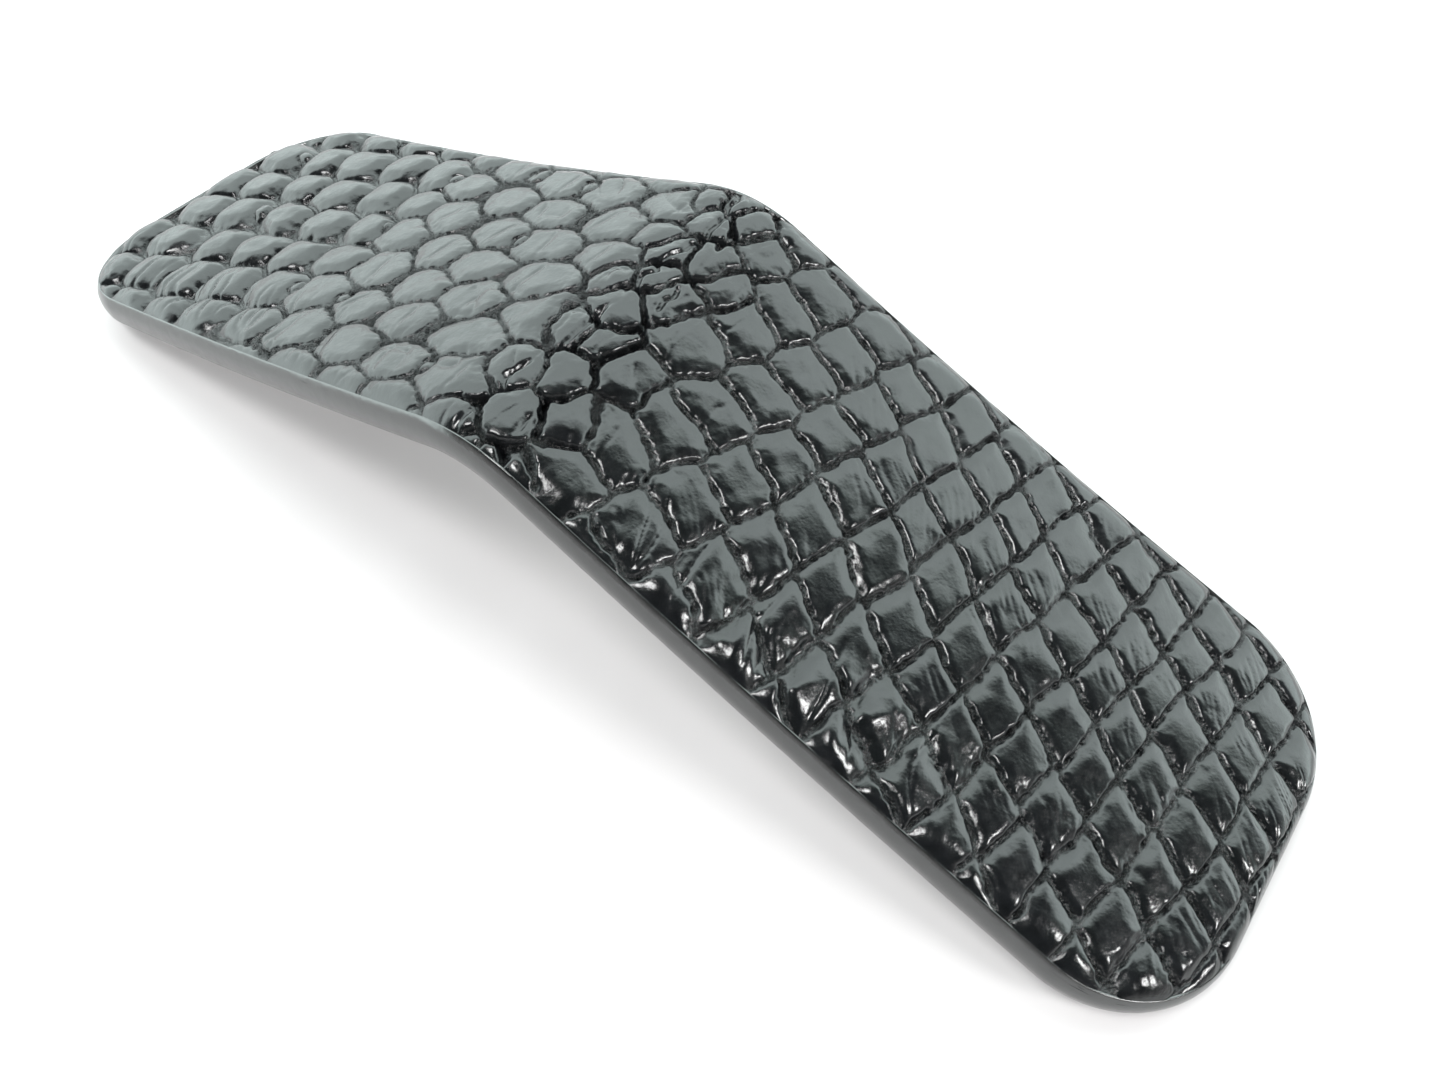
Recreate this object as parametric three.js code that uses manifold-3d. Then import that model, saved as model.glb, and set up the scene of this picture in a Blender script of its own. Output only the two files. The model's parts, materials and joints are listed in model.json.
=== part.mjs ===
// Hair barrette: a folded strip of alligator leather on an automatic ("French") barrette clip.
//
// Millimetres, +Z up. The origin is on the surface that the barrette stands on, under the ridge of
// the fold. +X runs along the strip, from the clip's hinge end to its catch end, and +Y across it.
// The strip is described on its own surface: s runs along it from the ridge, t across it, and depth
// is measured square to it, down from the face of the leather.

import * as THREE from "three";
import { mergeVertices } from "three/addons/utils/BufferGeometryUtils.js";
import Module from "manifold-3d";

const wasm = await Module();
wasm.setup();

const { degToRad } = THREE.MathUtils;

// ---- Driving dimensions -------------------------------------------------------------------------

// Leather strip, measured along its face.
const STRIP_LENGTH = 117.8;
const STRIP_WIDTH = 32;
const CORNER_RADIUS = 10;

// Fold: a short rounded ridge between two arms that flatten slightly towards their ends.
const RIDGE_HALF = 4.8;
const RIDGE_ANGLE = degToRad(21);
const END_ANGLE = degToRad(15.2);

// Layers of the strip, from the face down.
const SKIN_THICKNESS = 1.3;
const BOARD_THICKNESS = 1.0;
const LINING_THICKNESS = 0.9;
const EDGE_COAT = 0.3;
const EDGE_COAT_TOP = 1.0;
const CORE_INSET = EDGE_COAT + 0.03;
const SKIN_ROLL = 2.0;

// Base bar of the clip, glued and riveted under the lining.
const GLUE_GAP = 0.05;
const BAR_LENGTH = 80;
const BAR_HALF_WIDTH = 4.5;
const BAR_THICKNESS = 0.75;
const BAR_CORNER = 1.5;

// Rivets that hold the bar to the board.
const RIVET_S = 30.6;
const RIVET_RADIUS = 1.0;
const RIVET_HEAD_RADIUS = 1.95;
const RIVET_HEAD_HEIGHT = 0.55;
const RIVET_FLANGE_RADIUS = 1.5;
const WASHER_RADIUS = 2.2;
const WASHER_THICKNESS = 0.3;
const RECESS_DEPTH = 0.6;
const FIT = 0.06;

// Hinge at the -X end.
const HINGE_S = -36.5;
const EAR_THICKNESS = 0.7;
const EAR_HALF_LENGTH = 1.9;
const PIN_RADIUS = 0.7;
const PIN_HEAD_RADIUS = 1.15;
const PIN_HEAD_LENGTH = 0.45;
const EYE_RADIUS = 1.35;
const EYE_HALF_WIDTH = 3.55;

// Catch at the +X end.
const CATCH_S = 36.5;
const FOOT_HALF_LENGTH = 3.1;
const FOOT_HALF_WIDTH = 4.0;
const FOOT_THICKNESS = 0.5;
const CATCH_RIVET_RADIUS = 0.6;
const CATCH_RIVET_HEAD = 1.0;
const WING_CLEARANCE = 0.12;
const WING_INNER = 1.5;
const WING_THICKNESS = 0.6;
const WING_HALF_LENGTH = 2.0;
const TAB_HALF_LENGTH = 2.8;
const TAB_REACH = 6.9;
const TAB_THICKNESS = 0.55;
const TAB_TOP = 5.0;
const BARB_REACH = 0.65;
const BARB_HEIGHT = 1.0;

// Tongue that closes over the hair.
const TONGUE_THICKNESS = 0.8;
const TONGUE_HALF_WIDTH = 4.5;
const TONGUE_TOP = 6.3;
const TONGUE_TIP_S = 41.8;
const TONGUE_STRAIGHT_S = 31;
const TONGUE_RISE_ANGLE = degToRad(10);
const TONGUE_HANDLE = 12;
const WINDOW_HALF_LENGTH = 2.85;
const WINDOW_HALF_WIDTH = 2.3;

// Leaf spring that bows between the bar and the tongue, and the staples that keep its ends.
const SPRING_THICKNESS = 0.45;
const SPRING_HALF_WIDTH = 3.2;
const SPRING_TAB_HALF_WIDTH = 2.3;
const SPRING_END_BEYOND = 1.6;
const STAPLE_S = 27.4;
const STAPLE_LENGTH = 1.6;
const STAPLE_THICKNESS = 0.45;
const STAPLE_INNER_HALF = 2.6;
const STAPLE_CLEAR = 0.16;

// Depths that follow from the layers.
const BOARD_TOP = SKIN_THICKNESS;
const LINING_TOP = BOARD_TOP + BOARD_THICKNESS;
const STRIP_BOTTOM = LINING_TOP + LINING_THICKNESS;
const BAR_TOP = STRIP_BOTTOM + GLUE_GAP;
const BAR_BOTTOM = BAR_TOP + BAR_THICKNESS;
const FOOT_TOP = BAR_BOTTOM + GLUE_GAP;
const FOOT_BOTTOM = FOOT_TOP + FOOT_THICKNESS;
const PIN_DEPTH = BAR_BOTTOM + 0.4 + EYE_RADIUS;
const TONGUE_BOTTOM = TONGUE_TOP + TONGUE_THICKNESS;
const SPRING_END_TOP = BAR_BOTTOM + 0.35;
const CORNER_S = STRIP_LENGTH / 2 - CORNER_RADIUS;

const ROUND_STEPS = 24;

// ---- Lines in side view -------------------------------------------------------------------------
// A line gives, for a place s along it, the point (x, z) and the angle that it slopes down at.

const RIDGE_RADIUS = RIDGE_HALF / RIDGE_ANGLE;
const ARM_RADIUS = (STRIP_LENGTH / 2 - RIDGE_HALF) / (RIDGE_ANGLE - END_ANGLE);

function foldedLine(s) {
  const side = Math.sign(s) || 1;
  const along = Math.abs(s);
  if (along <= RIDGE_HALF) {
    const angle = along / RIDGE_RADIUS;
    return {
      x: side * RIDGE_RADIUS * Math.sin(angle),
      z: -RIDGE_RADIUS * (1 - Math.cos(angle)),
      angle: side * angle,
    };
  }
  const angle = RIDGE_ANGLE - (along - RIDGE_HALF) / ARM_RADIUS;
  const x = RIDGE_RADIUS * Math.sin(RIDGE_ANGLE) + ARM_RADIUS * (Math.sin(RIDGE_ANGLE) - Math.sin(angle));
  const z = RIDGE_RADIUS * (1 - Math.cos(RIDGE_ANGLE)) + ARM_RADIUS * (Math.cos(angle) - Math.cos(RIDGE_ANGLE));
  return { x: side * x, z: -z, angle: side * angle };
}

function arcLine(radius, topZ) {
  return (s) => {
    const angle = s / radius;
    return { x: radius * Math.sin(angle), z: topZ - radius * (1 - Math.cos(angle)), angle };
  };
}

function curveLine(curve) {
  return (s) => {
    const point = curve.getPointAt(s);
    const tangent = curve.getTangentAt(s);
    return { x: point.x, z: point.y, angle: -Math.atan2(tangent.y, tangent.x) };
  };
}

function pointOn(line, s, depth, t = 0) {
  const { x, z, angle } = line(s);
  return new THREE.Vector3(x - depth * Math.sin(angle), t, z - depth * Math.cos(angle));
}

// ---- Outlines: half-widths at places along a line -----------------------------------------------

function evenSteps(from, to, count) {
  return Array.from({ length: count + 1 }, (_, i) => from + ((to - from) * i) / count);
}

function mirrored(half) {
  const left = half.map(({ s, half: t }) => ({ s: -s, half: t })).reverse();
  return [...left, ...half.slice(1)];
}

// Rounded rectangle, as its places from the middle to one end, mirrored. Inset rings keep the count.
function stripOutline(halfLength, halfWidth, radius, inset, cornerSteps) {
  const r = radius - inset;
  const straight = [
    ...evenSteps(0, RIDGE_HALF, 4),
    ...evenSteps(RIDGE_HALF, halfLength - radius, 7).slice(1),
  ].map((s) => ({ s, half: halfWidth - inset }));
  const corner = evenSteps(0, Math.PI / 2, cornerSteps)
    .slice(1)
    .map((a) => ({
      s: halfLength - radius + r * Math.sin(a),
      half: halfWidth - radius + r * Math.cos(a),
    }));
  return mirrored([...straight, ...corner]);
}

const leatherOutline = (inset) => stripOutline(STRIP_LENGTH / 2, STRIP_WIDTH / 2, CORNER_RADIUS, inset, 8);

// ---- Closed meshes ------------------------------------------------------------------------------

function meshFrom(points, triangles) {
  const geometry = new THREE.BufferGeometry();
  geometry.setAttribute("position", new THREE.Float32BufferAttribute(points.flatMap((p) => p.toArray()), 3));
  geometry.setIndex(triangles);
  return geometry;
}

// Joins rings of outline points that lie on one line. A ring is { depth, outline }. An open stack is
// capped at its first and last ring; a looped one closes on itself and makes a hollow band.
function loftOnLine(line, rings, looped = false) {
  const count = rings[0].outline.length;
  const points = rings.flatMap(({ depth, outline }) => [
    ...outline.map(({ s, half }) => pointOn(line, s, depth, half)),
    ...outline.map(({ s, half }) => pointOn(line, s, depth, -half)).reverse(),
  ]);
  const around = 2 * count;
  const at = (ring, i) => (ring % rings.length) * around + (i % around);
  const triangles = [];
  const quad = (a, b, c, d) => triangles.push(a, b, c, a, c, d);
  const walls = looped ? rings.length : rings.length - 1;
  for (let ring = 0; ring < walls; ring += 1) {
    for (let i = 0; i < around; i += 1) {
      quad(at(ring, i), at(ring, i + 1), at(ring + 1, i + 1), at(ring + 1, i));
    }
  }
  if (!looped) {
    const last = rings.length - 1;
    for (let i = 0; i < count - 1; i += 1) {
      quad(at(0, i), at(0, around - 1 - i), at(0, around - 2 - i), at(0, i + 1));
      quad(at(last, i), at(last, i + 1), at(last, around - 2 - i), at(last, around - 1 - i));
    }
  }
  return meshFrom(points, triangles);
}

function layer(line, outline, topDepth, bottomDepth) {
  return loftOnLine(line, [{ depth: topDepth, outline }, { depth: bottomDepth, outline }]);
}

// ---- Solids: joining and cutting ----------------------------------------------------------------

function solidOf(geometry) {
  const bare = geometry.clone();
  bare.deleteAttribute("normal");
  bare.deleteAttribute("uv");
  const merged = mergeVertices(bare, 1e-5);
  return new wasm.Manifold(
    new wasm.Mesh({
      numProp: 3,
      vertProperties: new Float32Array(merged.attributes.position.array),
      triVerts: new Uint32Array(merged.index.array),
    }),
  );
}

function geometryOf(solid) {
  const { vertProperties, triVerts } = solid.getMesh();
  const geometry = new THREE.BufferGeometry();
  geometry.setAttribute("position", new THREE.Float32BufferAttribute(vertProperties, 3));
  geometry.setIndex([...triVerts]);
  return geometry;
}

function join(...geometries) {
  return geometryOf(geometries.map(solidOf).reduce((whole, piece) => whole.add(piece)));
}

function cut(geometry, ...tools) {
  return geometryOf(tools.map(solidOf).reduce((whole, tool) => whole.subtract(tool), solidOf(geometry)));
}

// ---- Shapes made flat, then laid on the strip ---------------------------------------------------
// In a piece's own frame x runs along the strip, y across it, and -z is deeper under it.

function layOnStrip(geometry, s) {
  const { x, z, angle } = foldedLine(s);
  return geometry.rotateY(angle).translate(x, 0, z);
}

// Solid of revolution about the strip's normal. The profile lists [radius, depth] pairs.
function turned(profile) {
  const points = profile.map(([radius, depth]) => new THREE.Vector2(radius, -depth));
  return new THREE.LatheGeometry(points, ROUND_STEPS).rotateX(Math.PI / 2);
}

// Straight bar with a section in the plane across the strip. The section lists [y, depth] pairs.
function barAlong(section, halfLength) {
  const shape = new THREE.Shape(section.map(([y, depth]) => new THREE.Vector2(y, -depth)));
  const geometry = new THREE.ExtrudeGeometry(shape, { depth: 2 * halfLength, bevelEnabled: false });
  return geometry.rotateX(Math.PI / 2).rotateZ(Math.PI / 2).translate(-halfLength, 0, 0);
}

function drill(radius, topDepth, bottomDepth) {
  const height = bottomDepth - topDepth;
  const geometry = new THREE.CylinderGeometry(radius, radius, height, ROUND_STEPS);
  return geometry.rotateX(Math.PI / 2).translate(0, 0, -(topDepth + bottomDepth) / 2);
}

// ---- Leather strip ------------------------------------------------------------------------------

function alligatorSkin() {
  const rings = [
    { depth: 0, outline: leatherOutline(SKIN_ROLL) },
    { depth: 0.35, outline: leatherOutline(0.8) },
    { depth: EDGE_COAT_TOP, outline: leatherOutline(CORE_INSET) },
    { depth: SKIN_THICKNESS, outline: leatherOutline(CORE_INSET) },
  ];
  return loftOnLine(foldedLine, rings);
}

function stiffenerBoard() {
  const board = layer(foldedLine, leatherOutline(CORE_INSET), BOARD_TOP, LINING_TOP);
  const cuts = [-RIVET_S, RIVET_S].flatMap((s) => [
    layOnStrip(drill(WASHER_RADIUS + FIT, BOARD_TOP - 1, BOARD_TOP + RECESS_DEPTH), s),
    layOnStrip(drill(RIVET_RADIUS + FIT, BOARD_TOP, LINING_TOP + 1), s),
  ]);
  return cut(board, ...cuts);
}

function liningLeather() {
  const lining = layer(foldedLine, leatherOutline(CORE_INSET), LINING_TOP, STRIP_BOTTOM);
  const holes = [-RIVET_S, RIVET_S].map((s) =>
    layOnStrip(drill(RIVET_RADIUS + FIT, LINING_TOP - 1, STRIP_BOTTOM + 1), s),
  );
  return cut(lining, ...holes);
}

function edgeCoat() {
  const rings = [
    { depth: EDGE_COAT_TOP, outline: leatherOutline(EDGE_COAT) },
    { depth: EDGE_COAT_TOP + EDGE_COAT, outline: leatherOutline(0) },
    { depth: STRIP_BOTTOM - EDGE_COAT, outline: leatherOutline(0) },
    { depth: STRIP_BOTTOM, outline: leatherOutline(EDGE_COAT) },
  ];
  return loftOnLine(foldedLine, rings, true);
}

// ---- Clip ---------------------------------------------------------------------------------------

// Ear of the hinge: a tab folded down from the bar's side, rounded about the pin.
function hingeEar(side) {
  const shape = new THREE.Shape();
  shape.moveTo(-EAR_HALF_LENGTH, -(BAR_BOTTOM - 0.3));
  shape.lineTo(-EAR_HALF_LENGTH, -PIN_DEPTH);
  shape.absarc(0, -PIN_DEPTH, EAR_HALF_LENGTH, Math.PI, 2 * Math.PI, false);
  shape.lineTo(EAR_HALF_LENGTH, -(BAR_BOTTOM - 0.3));
  const geometry = new THREE.ExtrudeGeometry(shape, {
    depth: EAR_THICKNESS,
    bevelEnabled: false,
    curveSegments: 12,
  });
  const inner = BAR_HALF_WIDTH - EAR_THICKNESS;
  const y = side > 0 ? BAR_HALF_WIDTH : -inner;
  return layOnStrip(geometry.rotateX(Math.PI / 2).translate(0, y, 0), HINGE_S);
}

// Staple: a bridge lanced down from the bar, which keeps one end of the spring.
function springStaple(s) {
  const top = BAR_BOTTOM - 0.3;
  const inside = SPRING_END_TOP + SPRING_THICKNESS + STAPLE_CLEAR;
  const outside = inside + STAPLE_THICKNESS;
  const outer = STAPLE_INNER_HALF + STAPLE_THICKNESS;
  const section = [
    [-outer, top],
    [-outer, outside],
    [outer, outside],
    [outer, top],
    [STAPLE_INNER_HALF, top],
    [STAPLE_INNER_HALF, inside],
    [-STAPLE_INNER_HALF, inside],
    [-STAPLE_INNER_HALF, top],
  ];
  return layOnStrip(barAlong(section, STAPLE_LENGTH / 2), s);
}

function pinBore(radius) {
  const geometry = new THREE.CylinderGeometry(radius, radius, 2 * STRIP_WIDTH, ROUND_STEPS);
  return layOnStrip(geometry.translate(0, 0, -PIN_DEPTH), HINGE_S);
}

function baseBar() {
  const outline = stripOutline(BAR_LENGTH / 2, BAR_HALF_WIDTH, BAR_CORNER, 0, 4);
  const plate = layer(foldedLine, outline, BAR_TOP, BAR_BOTTOM);
  const whole = join(plate, hingeEar(1), hingeEar(-1), springStaple(-STAPLE_S), springStaple(STAPLE_S));
  return cut(
    whole,
    pinBore(PIN_RADIUS + FIT),
    layOnStrip(drill(RIVET_RADIUS + FIT, BAR_TOP - 1, BAR_BOTTOM + 0.5), -RIVET_S),
    layOnStrip(drill(RIVET_RADIUS + FIT, BAR_TOP - 1, BAR_BOTTOM + 0.5), RIVET_S),
    layOnStrip(drill(CATCH_RIVET_RADIUS + FIT, BAR_TOP - 1, BAR_BOTTOM + 1), CATCH_S),
  );
}

// Rivet from the bar's underside up to the washer that is sunk in the board.
function barRivet(s) {
  const flangeTop = BOARD_TOP + 0.06;
  const flangeBottom = flangeTop + 0.16;
  const headTop = BAR_BOTTOM + 0.03;
  const profile = [
    [0, headTop + RIVET_HEAD_HEIGHT],
    [1.2, headTop + RIVET_HEAD_HEIGHT - 0.08],
    [RIVET_HEAD_RADIUS, headTop + 0.2],
    [RIVET_HEAD_RADIUS, headTop],
    [RIVET_RADIUS, headTop],
    [RIVET_RADIUS, flangeBottom],
    [RIVET_FLANGE_RADIUS, flangeBottom],
    [RIVET_FLANGE_RADIUS, flangeTop],
    [0, flangeTop],
  ];
  return layOnStrip(turned(profile), s);
}

function rivetWasher(s) {
  const top = BOARD_TOP + 0.25;
  const bottom = top + WASHER_THICKNESS;
  const bore = RIVET_RADIUS + FIT;
  const profile = [
    [bore, bottom],
    [WASHER_RADIUS, bottom],
    [WASHER_RADIUS, top],
    [bore, top],
    [bore, bottom],
  ];
  return layOnStrip(turned(profile), s);
}

function hingePin() {
  const inner = BAR_HALF_WIDTH + 0.05;
  const end = inner + PIN_HEAD_LENGTH;
  const half = [
    [PIN_RADIUS, inner],
    [PIN_HEAD_RADIUS, inner],
    [PIN_HEAD_RADIUS, end - 0.15],
    [PIN_RADIUS, end],
    [0, end],
  ];
  const lower = half.map(([radius, y]) => new THREE.Vector2(radius, -y)).reverse();
  const upper = half.map(([radius, y]) => new THREE.Vector2(radius, y));
  const geometry = new THREE.LatheGeometry([...lower, ...upper], ROUND_STEPS);
  return layOnStrip(geometry.translate(0, 0, -PIN_DEPTH), HINGE_S);
}

function catchFoot() {
  const w = FOOT_HALF_WIDTH;
  const section = [[-w, FOOT_TOP], [-w, FOOT_BOTTOM], [w, FOOT_BOTTOM], [w, FOOT_TOP]];
  const plate = barAlong(section, FOOT_HALF_LENGTH);
  return layOnStrip(cut(plate, drill(CATCH_RIVET_RADIUS + FIT, FOOT_TOP - 1, FOOT_BOTTOM + 1)), CATCH_S);
}

function catchRivet() {
  const headTop = FOOT_BOTTOM + 0.03;
  const profile = [
    [0, headTop + 0.4],
    [0.7, headTop + 0.34],
    [CATCH_RIVET_HEAD, headTop + 0.15],
    [CATCH_RIVET_HEAD, headTop],
    [CATCH_RIVET_RADIUS, headTop],
    [CATCH_RIVET_RADIUS, BAR_TOP],
    [0, BAR_TOP],
  ];
  return layOnStrip(turned(profile), CATCH_S);
}

// Wing of the catch: a springy leg with a barb under the tongue and a finger tab at its side.
function pinchWing(side) {
  const outer = WING_INNER + WING_THICKNESS;
  const shoulder = TONGUE_BOTTOM + 0.12;
  const bottom = shoulder + BARB_HEIGHT;
  const leg = [
    [WING_INNER, FOOT_BOTTOM + WING_CLEARANCE],
    [WING_INNER, bottom],
    [outer + 0.1, bottom],
    [outer + BARB_REACH, shoulder + 0.05],
    [outer, shoulder],
    [outer, FOOT_BOTTOM + WING_CLEARANCE],
  ];
  const tab = new THREE.Shape();
  tab.moveTo(-TAB_HALF_LENGTH, WING_INNER + 0.1);
  tab.lineTo(TAB_HALF_LENGTH, WING_INNER + 0.1);
  tab.lineTo(TAB_HALF_LENGTH, TAB_REACH - 1.5);
  tab.absarc(TAB_HALF_LENGTH - 1.5, TAB_REACH - 1.5, 1.5, 0, Math.PI / 2, false);
  tab.absarc(-TAB_HALF_LENGTH + 1.5, TAB_REACH - 1.5, 1.5, Math.PI / 2, Math.PI, false);
  const tabPlate = new THREE.ExtrudeGeometry(tab, {
    depth: TAB_THICKNESS,
    bevelEnabled: false,
    curveSegments: 6,
  }).translate(0, 0, -TAB_TOP - TAB_THICKNESS);
  const wing = join(barAlong(leg, WING_HALF_LENGTH), tabPlate);
  const turnedRound = side < 0 ? wing.rotateZ(Math.PI) : wing;
  return layOnStrip(turnedRound, CATCH_S);
}

// Centre line of the tongue: from under the hinge eye, over the hair, to a straight tip.
function tongueCurve() {
  const eye = pointOn(foldedLine, HINGE_S, PIN_DEPTH);
  const middle = (TONGUE_TOP + TONGUE_BOTTOM) / 2;
  const straight = pointOn(foldedLine, TONGUE_STRAIGHT_S, middle);
  const tip = pointOn(foldedLine, TONGUE_TIP_S, middle);
  const start = new THREE.Vector2(eye.x, eye.z - EYE_RADIUS + TONGUE_THICKNESS / 2);
  const bend = new THREE.Vector2(straight.x, straight.z);
  const end = new THREE.Vector2(tip.x, tip.z);
  const tipWay = end.clone().sub(bend).normalize();
  const rise = new THREE.Vector2(Math.cos(TONGUE_RISE_ANGLE), Math.sin(TONGUE_RISE_ANGLE));
  const path = new THREE.CurvePath();
  path.add(
    new THREE.CubicBezierCurve(
      start,
      start.clone().addScaledVector(rise, TONGUE_HANDLE),
      bend.clone().addScaledVector(tipWay, -TONGUE_HANDLE),
      bend,
    ),
  );
  path.add(new THREE.LineCurve(bend, end));
  return path;
}

function tongue() {
  const curve = tongueCurve();
  const tipShare = TONGUE_HALF_WIDTH / curve.getLength();
  const body = [
    ...evenSteps(0, 0.05, 2).map((s) => ({ s, half: EYE_HALF_WIDTH })),
    ...evenSteps(0.08, 1 - tipShare, 20).map((s) => ({ s, half: TONGUE_HALF_WIDTH })),
  ];
  const tip = evenSteps(0, Math.PI / 2, 8)
    .slice(1, -1)
    .concat(degToRad(85))
    .map((a) => ({ s: 1 - tipShare + tipShare * Math.sin(a), half: TONGUE_HALF_WIDTH * Math.cos(a) }));
  const half = TONGUE_THICKNESS / 2;
  const arm = layer(curveLine(curve), [...body, ...tip], -half, half);
  const eye = new THREE.CylinderGeometry(EYE_RADIUS, EYE_RADIUS, 2 * EYE_HALF_WIDTH, ROUND_STEPS);
  const eyeOnPin = layOnStrip(eye.translate(0, 0, -PIN_DEPTH), HINGE_S);
  const window = [
    [-WINDOW_HALF_WIDTH, TONGUE_TOP - 1],
    [-WINDOW_HALF_WIDTH, TONGUE_BOTTOM + 1],
    [WINDOW_HALF_WIDTH, TONGUE_BOTTOM + 1],
    [WINDOW_HALF_WIDTH, TONGUE_TOP - 1],
  ];
  const windowTool = layOnStrip(barAlong(window, WINDOW_HALF_LENGTH), CATCH_S);
  return cut(join(arm, eyeOnPin), pinBore(PIN_RADIUS + FIT), windowTool);
}

// Leaf spring: one arc whose ends lie along the bar inside the two staples.
function tensionSpring() {
  const middle = SPRING_END_TOP + SPRING_THICKNESS / 2;
  const end = pointOn(foldedLine, STAPLE_S, middle);
  const slope = foldedLine(STAPLE_S).angle;
  const radius = end.x / Math.sin(slope);
  const topZ = end.z + radius * (1 - Math.cos(slope));
  const keptS = radius * slope;
  const outline = mirrored([
    ...evenSteps(0, keptS - 3, 9).map((s) => ({ s, half: SPRING_HALF_WIDTH })),
    ...evenSteps(keptS - 1.8, keptS + SPRING_END_BEYOND, 3).map((s) => ({ s, half: SPRING_TAB_HALF_WIDTH })),
  ]);
  return layer(arcLine(radius, topZ), outline, -SPRING_THICKNESS / 2, SPRING_THICKNESS / 2);
}

// ---- Assembly -----------------------------------------------------------------------------------

const blackLeather = { color: 0x14161a, roughness: 0.25, metalness: 0 };
const blackPaint = { color: 0x0c0d0f, roughness: 0.15, metalness: 0 };
const board = { color: 0x6b4f38, roughness: 0.9, metalness: 0 };
const lining = { color: 0x1b1a1a, roughness: 0.6, metalness: 0 };
const nickel = { color: 0xb9bcc0, roughness: 0.28, metalness: 1 };
const springSteel = { color: 0x8f949b, roughness: 0.35, metalness: 1 };

const pieces = [
  ["alligator_skin", alligatorSkin(), blackLeather],
  ["stiffener_board", stiffenerBoard(), board],
  ["lining_leather", liningLeather(), lining],
  ["edge_coat", edgeCoat(), blackPaint],
  ["base_bar", baseBar(), nickel],
  ["rivet_left", barRivet(-RIVET_S), nickel],
  ["rivet_right", barRivet(RIVET_S), nickel],
  ["washer_left", rivetWasher(-RIVET_S), nickel],
  ["washer_right", rivetWasher(RIVET_S), nickel],
  ["hinge_pin", hingePin(), nickel],
  ["catch_foot", catchFoot(), nickel],
  ["catch_rivet", catchRivet(), nickel],
  ["pinch_wing_front", pinchWing(-1), nickel],
  ["pinch_wing_back", pinchWing(1), nickel],
  ["tongue", tongue(), nickel],
  ["tension_spring", tensionSpring(), springSteel],
];

// The strip stands on the lower edges of its two ends.
const standing = pointOn(foldedLine, STRIP_LENGTH / 2 - EDGE_COAT, STRIP_BOTTOM).z;

const group = new THREE.Group();
group.position.z = -standing;
for (const [name, geometry, look] of pieces) {
  geometry.computeVertexNormals();
  const mesh = new THREE.Mesh(geometry, new THREE.MeshStandardMaterial(look));
  mesh.name = name;
  group.add(mesh);
}

export default group;
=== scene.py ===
"""Looks of the alligator-leather hair barrette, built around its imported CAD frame.

Blender units are metres. The leather's surface is worked out in millimetres on the strip's own
face: s runs along it from the ridge, t across it, and depth is square to it, down from the face.
"""

import json
import math
import bmesh
import bpy
import numpy as np
from mathutils import Matrix, Vector


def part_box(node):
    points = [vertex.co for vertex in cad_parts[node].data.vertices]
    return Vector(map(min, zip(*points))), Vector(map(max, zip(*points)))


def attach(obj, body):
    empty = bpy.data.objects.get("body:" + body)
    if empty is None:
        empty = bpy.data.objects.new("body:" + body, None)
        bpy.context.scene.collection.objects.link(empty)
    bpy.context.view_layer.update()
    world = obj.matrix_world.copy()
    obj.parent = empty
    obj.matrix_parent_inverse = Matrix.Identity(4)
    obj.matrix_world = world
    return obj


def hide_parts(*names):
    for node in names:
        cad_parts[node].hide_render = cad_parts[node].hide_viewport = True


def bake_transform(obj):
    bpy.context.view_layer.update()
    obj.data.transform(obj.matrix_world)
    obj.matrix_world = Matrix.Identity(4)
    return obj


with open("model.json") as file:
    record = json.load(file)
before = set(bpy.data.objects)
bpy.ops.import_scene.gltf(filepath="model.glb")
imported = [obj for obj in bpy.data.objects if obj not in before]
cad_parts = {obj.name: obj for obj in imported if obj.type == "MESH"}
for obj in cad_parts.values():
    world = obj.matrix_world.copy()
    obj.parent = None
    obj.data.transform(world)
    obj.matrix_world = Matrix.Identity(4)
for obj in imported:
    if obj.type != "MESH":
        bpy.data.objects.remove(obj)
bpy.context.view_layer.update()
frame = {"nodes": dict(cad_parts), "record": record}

MM = 0.001

# ---- The folded strip ---------------------------------------------------------------------------

RIDGE_HALF = 4.8
RIDGE_ANGLE = math.radians(21)
END_ANGLE = math.radians(15.2)
CORNER_RADIUS = 10.0
STRIP_LENGTH = 117.8

face_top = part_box("alligator_skin")[1].z / MM
half_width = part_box("edge_coat")[1].y / MM
half_length = STRIP_LENGTH / 2
ridge_radius = RIDGE_HALF / RIDGE_ANGLE
arm_radius = (half_length - RIDGE_HALF) / (RIDGE_ANGLE - END_ANGLE)


def folded_line(s):
    """Point (x, z) of the face at s, and the angle it slopes down at, as arrays in mm and radians."""
    along = np.abs(s)
    bend = np.minimum(along, RIDGE_HALF) / ridge_radius
    angle = bend - np.maximum(along - RIDGE_HALF, 0) / arm_radius
    x = ridge_radius * np.sin(bend) + arm_radius * (np.sin(bend) - np.sin(angle))
    z = ridge_radius * (1 - np.cos(bend)) + arm_radius * (np.cos(angle) - np.cos(bend))
    side = np.sign(s)
    return side * x, face_top - z, side * angle


def on_strip(s, t, depth):
    """Points in metres, at a depth under the face."""
    x, z, angle = folded_line(s)
    points = (x - depth * np.sin(angle), t + 0 * x, z - depth * np.cos(angle))
    return np.stack(points, axis=-1) * MM


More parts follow.
